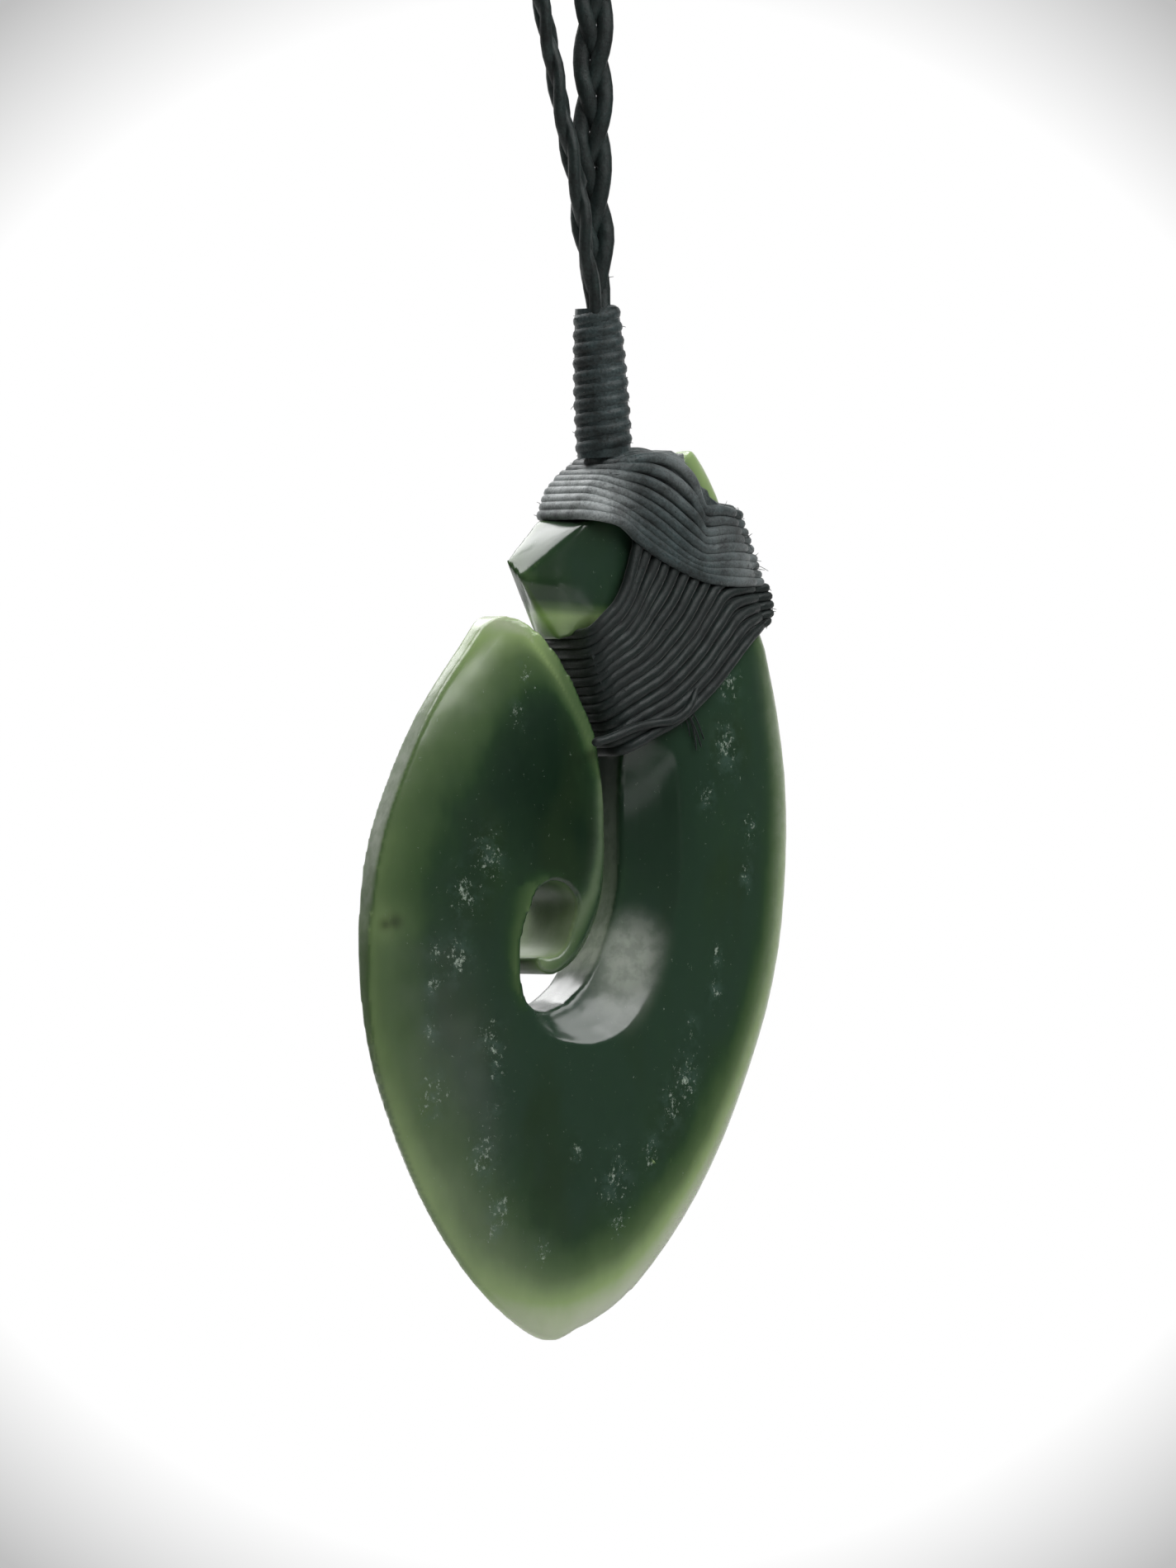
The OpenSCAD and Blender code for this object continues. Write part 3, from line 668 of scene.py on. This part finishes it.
def screen(values, added):
    """Adds to values so that they come no higher than one."""
    return 1 - (1 - values) * (1 - added)


def fade(distance, reach, power=2):
    """One at no distance, and close to nothing beyond the reach in millimetres."""
    return np.exp(-(distance / (reach * MM)) ** power)


def paint_stone(work):
    """Writes the stone's values into its points: the painted glow where light would come through, the
    clusters of flecks, the stain, the painted shade zone, the painted highlight and the dull walls of the
    eye."""
    places = np.array([v.co for v in work.verts])
    facing = np.abs([v.normal.y for v in work.verts])
    height = (places[:, 2] - STONE_Z) / STONE_H
    flat = np.c_[places[:, 0] - STONE_X, places[:, 2] - STONE_Z]

    def off(across, up, stretch=(1, 1)):
        """How far the points are from a place on the stone."""
        return np.linalg.norm((flat - np.array([across, up]) * SHARES) * stretch, axis=1)

    # The outline's two edges, slice by slice.
    slices = np.clip((height * 100).astype(int), 0, 102)
    edge = np.zeros((103, 2))
    for k in range(103):
        inside = flat[slices == k, 0]
        edge[k] = (inside.min(), inside.max()) if len(inside) else edge[k - 1]
    at = height * 100 - 0.5
    lit = np.zeros(len(places))
    distances = []
    # Along each edge of the outline lies a painted glow, as if light came in through it.
    for side in (0, 1):
        smoothed = np.convolve(np.pad(edge[:, side], 2, mode="edge"), np.ones(5) / 5, "valid")
        lean = np.interp(at, range(103), np.gradient(smoothed, 0.01 * STONE_H))
        distance = np.abs(flat[:, 0] - np.interp(at, range(103), smoothed)) / np.sqrt(1 + lean ** 2)
        strength = np.interp(height, EDGE_LIGHT[:, 0], EDGE_LIGHT[:, 1 + 2 * side])
        reach = np.interp(height, EDGE_LIGHT[:, 0], EDGE_LIGHT[:, 2 + 2 * side])
        lit = screen(lit, strength * fade(distance, reach, 1.5))
        distances.append(distance)
    left, right = distances
    # The sides of the left rim, turned away from the lights, and the right outline get a painted highlight.
    sideways = np.clip(1 - 1.5 * facing, 0, 1)
    painted_highlight = np.interp(height, *zip(*HIGHLIGHT_RIM)) * sideways * fade(left, 1.2, 3)
    painted_highlight = np.maximum(painted_highlight, np.interp(height, *zip(*HIGHLIGHT_EDGE)) * fade(right, 1.2))
    # Along the lobe's edge and shoulder lies a painted glow.
    line = polyline_distance(flat, np.array(LOBE_EDGE) * SHARES)
    lit = screen(lit, np.interp(height, *LOBE_LIGHT) * fade(line, 0.45, 1))
    band = polyline_distance(flat, np.array(LOBE_BAND) * SHARES)
    lit = screen(lit, BAND_LIGHT * fade(band, 0.5))
    # The walls of the slit get a painted glow, as if seen against the light.
    upright = np.clip(1 - 2.5 * facing, 0, 1)
    lit = screen(lit, WALL_LIGHT * upright * fade(line, 2.2, 4))
    # Low on the far wall of the slit lies a painted reflection.
    wall = np.interp(height, *zip(*HIGHLIGHT_WALL)) * (flat[:, 0] > -0.16 * HALF_W)
    painted_highlight = np.maximum(painted_highlight, wall * upright * fade(line, 2.4, 4))
    # The lobe's shoulder gets a painted highlight, and the hollow painted reflections.
    painted_highlight = np.maximum(painted_highlight, BAND_HIGHLIGHT * fade(band, 0.6))
    for across, up, radius, strength in HIGHLIGHT_HOLLOW:
        painted_highlight = screen(painted_highlight, strength * fade(off(across, up), radius, 4))
    # The eye's dull walls get a painted glow too.
    eye = np.array(DULL_EYE)
    off_eye = np.linalg.norm((flat / SHARES - eye[:2]) / eye[2:], axis=1)
    dull = np.clip(1.6 - 2 * facing, 0, 1) * np.exp(-off_eye ** 4)
    lit = screen(lit, DULL_LIGHT * dull)
    # How thin the stone is all round a point, from rays into it. Thin places get a painted glow.
    tree = BVHTree.FromBMesh(work)
    random.seed(4)
    spread = [Vector((random.gauss(0, 1), random.gauss(0, 1), random.gauss(0, 1))).normalized() * RAY_SPREAD
              for _ in range(RAYS)]
    thin = np.zeros(len(places))
    for index, v in enumerate(work.verts):
        start = v.co - v.normal * 0.02 * MM
        for offset in spread:
            hit = tree.ray_cast(start, (offset - v.normal).normalized(), 30 * MM)[3]
            thin[index] += math.exp(-(hit or 0.0) / RAY_FADE) / RAYS
    lit = screen(lit, np.clip((thin - 0.12) * 0.9, 0, 1))
    cluster = np.zeros(len(places))
    for across, up, radius in FLECKS:
        # The clusters are drawn out down the stone.
        cluster = np.maximum(cluster, fade(off(across, up, (1.35, 0.8)), radius))
    stain = np.zeros(len(places))
    for across, up, radius in STAIN:
        stain = np.maximum(stain, 0.6 * fade(off(across, up), radius))
        # The stone is a little paler round each spot.
        lit = screen(lit, 0.1 * fade(off(across, up), 3.5 * radius))
    # The painted shade zone, darkest at its middle.
    across, up, wide, high = SHADE_ZONE
    zone = np.exp(-((flat[:, 0] / HALF_W - across) / wide) ** 2 - ((height - up) / high) ** 2)
    for name, values in zip(STONE_PAINT, (lit, cluster, stain, zone, painted_highlight, dull)):
        layer = work.verts.layers.float.new(name)
        for v, value in zip(work.verts, values):
            v[layer] = value


def smooth(work, verts, rounds):
    """Smooths chosen points of a mesh."""
    for _ in range(rounds):
        bmesh.ops.smooth_vert(
            work, verts=verts, factor=0.5, use_axis_x=True, use_axis_y=True, use_axis_z=True)


def fit_flank(work):
    """Grinds the flat beside the tip round, brings the right flank out to the outline in the photograph and
    fills the hollow beside the tip."""
    centre = np.array(TIP_FLAT[:2]) * SHARES + (STONE_X, STONE_Z)
    near = [v for v in work.verts if math.hypot(v.co.x - centre[0], v.co.z - centre[1]) < TIP_FLAT[2] * MM]
    smooth(work, near, 14)
    fill_x, fill_w, fill_h, fill_depth = TIP_FILL
    for v in work.verts:
        height = (v.co.z - STONE_Z) / STONE_H
        across = (v.co.x - STONE_X) / HALF_W
        share = min(max((across - 0.05) / 0.6, 0), 1)
        # Low down the flank turns in under the stone, so the share rises sooner there.
        share = share if height > 0.2 else max(share, min(max(across / 0.3, 0), 1))
        out = np.interp(height, RIGHT_FLANK[:, 0], RIGHT_FLANK[:, 1]) * MM
        v.co.x += out * share * share * (3 - 2 * share)
        v.co.z -= fill_depth * MM * math.exp(-((across - fill_x) / fill_w) ** 2 - (height / fill_h) ** 2)


class PENDANT_OT_hook(bpy.types.Operator):
    """Carved stone hook, smoothed from the solid, with its thin edges found for a painted glow of light
    through them
    """
    bl_idname = "pendant.hook"
    bl_label = "Stone hook"

    def execute(self, context):
        sizes, colours = context.scene.pendant_sizes, context.scene.pendant_colours
        source = solid("hook")
        # Points along the carved edges, which smoothing has to leave crisp.
        edges = []
        for edge in source.edges:
            if len(edge.link_faces) == 2 and edge.calc_face_angle(0) > CRISP_ANGLE:
                a, b = (v.co for v in edge.verts)
                steps = max(1, int((b - a).length / (0.3 * MM)))
                edges += [a.lerp(b, k / steps) for k in range(steps + 1)]
        crisp = finder(edges)
        obj = link_new("hook_source", finished_mesh(source, "hook_source"))
        modifier = obj.modifiers.new("Remesh", "REMESH")
        modifier.mode = "VOXEL"
        modifier.voxel_size = sizes.voxel * 1
        fine = shaped(obj)
        work = bmesh.new()
        work.from_mesh(fine)
        far = {v: crisp.find(v.co)[2] for v in work.verts}
        for reach, rounds in SMOOTHING:
            smooth(work, [v for v in work.verts if far[v] >= reach * MM], rounds)
        fit_flank(work)
        work.normal_update()
        paint_stone(work)
        work.to_mesh(fine)
        work.free()
        fine.shade_smooth()
        stone = add_object("stone_hook", fine, nephrite(colours))
        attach(stone, "root")
        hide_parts("hook")
        return {"FINISHED"}


def paint_sheen(mesh):
    """Writes how strong the painted sheen is into a thread's points."""
    places = np.empty(len(mesh.vertices) * 3, np.float32)
    mesh.vertices.foreach_get("co", places)
    flat = places.reshape(-1, 3)[:, [0, 2]] - (STONE_X, STONE_Z)
    painted_sheen = np.zeros(len(flat))
    for across, up, radius, strength in SHEEN_SPOTS:
        gap = np.linalg.norm(flat - np.array([across, up]) * SHARES, axis=1)
        painted_sheen = np.maximum(painted_sheen, strength * fade(gap, radius))
    mesh.attributes.new("painted_sheen", "FLOAT", "POINT").data.foreach_set("value", painted_sheen.astype(np.float32))


def lashing(name, node, turns, stand_off, diameter, material, under=None, extra=()):
    """Wound thread on the head that stands for a lashing's node, over a dull core shrunk from that node."""
    runs = []
    for k, turn in enumerate(turns):
        path = wobble(turn_path(turn, stand_off, under=under), 0.035 * MM, 11 * len(turns) + k)
        # The turns are pressed flatter where they crowd together on the right shoulder.
        crowd = np.clip((path[:, 0] - STONE_X) / HALF_W - 0.62, 0, 0.25) / 0.25
        runs.append((path, diameter / 2 * (1 - 0.2 * crowd), True))
    fibres = stray_fibres(runs, 220, len(turns), np.array([STONE_X, 0, STONE_Z + 0.85 * STONE_H]))
    obj = tubes(name, runs + list(extra) + fibres, material)
    bm = solid(node)
    bm.normal_update()
    for vert in bm.verts:
        vert.co -= vert.normal * CORE_DEPTH
        low, high = (np.interp((vert.co.x - STONE_X) / HALF_W, turn[:, 0], turn[:, 1]) * STONE_H + STONE_Z
                     for turn in (turns[0], turns[-1]))
        vert.co.z = max(vert.co.z, low + CORE_BEHIND)
        if under is not None:
            vert.co.z = min(vert.co.z, high - CORE_BEHIND)
    bm.from_mesh(obj.data)
    bm.to_mesh(obj.data)
    bm.free()
    # The upper lashing gets its painted sheen.
    if node == "upper_lashing":
        paint_sheen(obj.data)
    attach(obj, "root")
    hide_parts(node)


class PENDANT_OT_lashings(bpy.types.Operator):
    """Two lashings of waxed thread round the head, turn by turn"""
    bl_idname = "pendant.lashings"
    bl_label = "Lashings"

    def execute(self, context):
        sizes, colours = context.scene.pendant_sizes, context.scene.pendant_colours
        material = waxed_thread("waxed_lashing_thread", colours.thread_dark, colours.thread_light,
                                colours.painted_sheen_colour)
        # The lower lashing takes a darker copy of the thread material, a painted shade.
        shaded = waxed_thread("waxed_thread_painted_shade", colours.thread_dark, colours.lower_shaded_light,
                              colours.painted_sheen_colour, 0.2)
        d = sizes.lash_d
        lower = key_turns(LOWER_TURNS, sizes.lower_count)
        upper = key_turns(UPPER_TURNS, sizes.upper_count)
        loose = []
        for stand_off, radius, places in LOOSE_THREADS:
            x, z = catmull(places, 8).T
            path = np.c_[x * HALF_W + STONE_X, -head_face(x, z) - stand_off * MM, z * STONE_H + STONE_Z]
            taper = np.interp(np.linspace(0, 1, len(path)), [0, 0.08, 0.9, 1], [0.4, 1, 1, 0.4])
            loose.append((path, radius * MM * taper, False))
        lashing("lower_lashing_thread", "lower_lashing", lower, LOWER_OFF, d, shaded, upper[0], loose)
        # The top turns close over the head between the front and the back.
        crown = []
        for k, share in enumerate(CROWN_SHARES):
            path = turn_path(upper[-1], CROWN_OFF)
            path[:, 1] *= share
            path[:, 2] += 0.15 * MM * (k + 1) * (1 - share)
            crown.append((path, d / 2, True))
        lashing("upper_lashing_thread", "upper_lashing", upper, UPPER_OFF, d, material, extra=crown)
        return {"FINISHED"}


class PENDANT_OT_whipping(bpy.types.Operator):
    """Waxed thread wound round the ends of the plait"""
    bl_idname = "pendant.whipping"
    bl_label = "Whipping"

    def execute(self, context):
        sizes, colours = context.scene.pendant_sizes, context.scene.pendant_colours
        material = waxed_thread("waxed_whipping_thread", colours.thread_dark, colours.thread_light,
                                colours.painted_sheen_colour)
        top = CORD_FOOT - Vector((0, 0, 0.15 * MM))
        axis = Vector((-math.sin(WHIP_LEAN), 0, math.cos(WHIP_LEAN)))
        base = top - axis * WHIP_LENGTH
        side = Vector((math.cos(WHIP_LEAN), 0, math.sin(WHIP_LEAN)))
        turns, per_turn = sizes.whip_turns, 36
        points = []
        for k in range(turns * per_turn + 1):
            share = k / (turns * per_turn)
            angle = 2 * math.pi * k / per_turn
            radius = (WHIP_RADIUS - WHIP_NARROWS * share ** 2.5) * MM - sizes.whip_d / 2
            along = -sizes.whip_d * 0.45 + (WHIP_LENGTH - sizes.whip_d * 0.05) * share
            points.append(base + axis * along + side * radius * math.cos(angle)
                          + Vector((0, 1, 0)) * radius * math.sin(angle))
        wound = [(wobble(np.array(points), 0.01 * MM, 5), sizes.whip_d / 2, False)]
        core = np.array([base + axis * WHIP_LENGTH * t for t in np.linspace(-0.08, 0.98, 12)])
        filling = [(core, (WHIP_FILLING - WHIP_NARROWS * np.linspace(0, 1, 12) ** 2.5) * MM, False)]
        fuzz = stray_fibres(wound, 160, 3, np.array(base + top) / 2, 0.28)
        obj = tubes("whipping_thread", wound + filling + fuzz, material, 12)
        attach(obj, "root")
        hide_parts("whipping")
        return {"FINISHED"}


class PENDANT_OT_neck_cord(bpy.types.Operator):
    """Flat plait of three strands, one whole loop from the whipping round the neck and back"""
    bl_idname = "pendant.neck_cord"
    bl_label = "Neck cord"

    def execute(self, context):
        sizes, colours = context.scene.pendant_sizes, context.scene.pendant_colours
        material = waxed_thread("waxed_plait_strand", colours.plait_dark, colours.plait_light,
                                colours.painted_sheen_colour, 0.12)
        dense = catmull(np.array(ROUTE, float) * MM, 40) + np.array(CORD_FOOT)
        run = np.r_[0, np.cumsum(np.linalg.norm(np.diff(dense, axis=0), axis=1))]
        total = run[-1]
        per_pitch = 18
        count = int(total / sizes.plait_pitch * per_pitch)
        s = np.linspace(0, total, count)
        mid = np.stack([np.interp(s, run, dense[:, k]) for k in range(3)], axis=1)
        tangent = np.gradient(mid, axis=0)
        tangent /= np.linalg.norm(tangent, axis=1)[:, None]
        flat = np.radians(np.interp(s / total, *PLAIT_TURN))
        depth_axis = np.array([0.0, 1.0, 0.0])
        across = depth_axis - tangent * (tangent @ depth_axis)[:, None]
        across /= np.linalg.norm(across, axis=1)[:, None]
        other = np.cross(tangent, across)
        wide = across * np.cos(flat)[:, None] + other * np.sin(flat)[:, None]
        thick = np.cross(tangent, wide)
        runs = []
        # The plait draws in where it goes into the whipping.
        drawn = np.interp(np.minimum(s, total - s), [1.5 * MM, 6 * MM], [0.35, 1])
        for k in range(3):
            phase = 2 * math.pi * (s / sizes.plait_pitch + k / 3)
            path = (mid + wide * (drawn * PLAIT_SWING * np.sin(phase))[:, None]
                    + thick * (drawn * PLAIT_RISE * np.sin(2 * phase))[:, None])
            runs.append((path, sizes.strand_d / 2, False))
        obj = tubes("neck_plait", runs + stray_fibres(runs, 900, 8, longest=0.35), material)
        # The plait is pressed flat.
        middles = finder(mid)
        for vert in obj.data.vertices:
            index = middles.find(vert.co)[1]
            offset = (np.array(vert.co) - mid[index]) @ thick[index]
            vert.co += Vector(thick[index]) * float(offset * (PLAIT_PRESSED - 1))
        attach(obj, "root")
        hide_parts("neck_cord")
        return {"FINISHED"}


def studio_world(scene, look):
    """A white tent, brightest behind the pendant and dim in front, with a white spot on its back wall."""
    world = bpy.data.worlds.new("studio_tent")
    scene.world = world
    world.use_nodes = True
    world.node_tree.nodes.clear()
    add = partial(add_node, world.node_tree)
    direction = add("ShaderNodeTexCoord").outputs["Generated"]
    share = add("ShaderNodeVectorMath", {0: direction, 1: look}, operation="DOT_PRODUCT").outputs["Value"]
    # The spot is white up to 3 degrees from the middle of the view and gone at 3.7 degrees.
    spot = add("ShaderNodeMapRange", {"Value": share}, From_Min=0.99787, From_Max=0.99858, To_Min=0.527,
               To_Max=1.0)
    tent = add("ShaderNodeMapRange", {"Value": share}, From_Min=0.6, From_Max=0.97, To_Min=0.05,
               To_Max=1.0)
    seen = add("ShaderNodeLightPath").outputs["Is Camera Ray"]
    strength = add("ShaderNodeMix", {"Factor": seen, 2: tent.outputs[0], 3: spot.outputs[0]})
    light = add("ShaderNodeBackground", {"Strength": strength.outputs[0]}, Color=linear("ffffff"))
    add("ShaderNodeOutputWorld", {"Surface": light.outputs[0]})


class PENDANT_OT_stage(bpy.types.Operator):
    """Pale floor, white tent, soft lights and the camera"""
    bl_idname = "pendant.stage"
    bl_label = "Stage"

    def execute(self, context):
        scene = context.scene
        target = Vector((0, 0, VIEW_Z))
        look = Vector((math.sin(-CAMERA_YAW), math.cos(CAMERA_YAW), 0))
        right = Vector((math.cos(CAMERA_YAW), math.sin(CAMERA_YAW), 0))
        camera = bpy.data.objects.new("camera", bpy.data.cameras.new("camera"))
        scene.collection.objects.link(camera)
        camera.data.sensor_fit = "VERTICAL"
        camera.data.angle = 2 * math.atan(VIEW_HEIGHT / 2 / CAMERA_DISTANCE)
        camera.data.clip_start = 0.01
        camera.location = target + right * CAMERA_SHIFT - look * CAMERA_DISTANCE
        camera.rotation_euler = look.to_track_quat("-Z", "Y").to_euler()
        scene.camera = camera

        bm = bmesh.new()
        bmesh.ops.create_circle(bm, cap_ends=True, segments=96, radius=FLOOR_RADIUS)
        bmesh.ops.translate(bm, verts=bm.verts, vec=(0, 0, FLOOR_Z))
        mesh = finished_mesh(bm, "floor")
        add_object("floor", mesh, plain("floor_paper", "f0f0ee", 0.9))

        for name, ((across, up, ahead), size, radiance) in LIGHTS.items():
            way = (right * across + Vector((0, 0, up)) + look * ahead).normalized()
            light = bpy.data.objects.new(name, bpy.data.lights.new(name, "AREA"))
            light.data.shape = "RECTANGLE"
            light.data.size, light.data.size_y = size
            light.data.energy = radiance * math.pi * size[0] * size[1]
            light.location = target + way * LIGHT_DISTANCE
            light.rotation_euler = (-way).to_track_quat("-Z", "Y").to_euler()
            light.visible_camera = False
            scene.collection.objects.link(light)
        studio_world(scene, look)
        scene.view_settings.view_transform = "Standard"
        return {"FINISHED"}


class PENDANT_PT_panel(bpy.types.Panel):
    """Sizes and colours of the pendant, and a button to rebuild each piece"""
    bl_idname = "PENDANT_PT_panel"
    bl_label = "Pendant"
    bl_space_type = "VIEW_3D"
    bl_region_type = "UI"
    bl_category = "Pendant"

    def draw(self, context):
        for group in (context.scene.pendant_sizes, context.scene.pendant_colours):
            for name in group.__annotations__:
                self.layout.prop(group, name)
        for operator in OPERATORS:
            self.layout.operator(operator.bl_idname)


OPERATORS = (
    PENDANT_OT_hook, PENDANT_OT_lashings, PENDANT_OT_whipping, PENDANT_OT_neck_cord, PENDANT_OT_stage,
)
CLASSES = (PendantSizes, PendantColours, *OPERATORS, PENDANT_PT_panel)


def register():
    for cls in CLASSES:
        bpy.utils.register_class(cls)
    bpy.types.Scene.pendant_sizes = PointerProperty(type=PendantSizes)
    bpy.types.Scene.pendant_colours = PointerProperty(type=PendantColours)


def unregister():
    del bpy.types.Scene.pendant_sizes
    del bpy.types.Scene.pendant_colours
    for cls in reversed(CLASSES):
        bpy.utils.unregister_class(cls)


def main():
    register()
    bpy.ops.pendant.stage()
    bpy.ops.pendant.hook()
    bpy.ops.pendant.lashings()
    bpy.ops.pendant.whipping()
    bpy.ops.pendant.neck_cord()


if __name__ == "__main__":
    main()
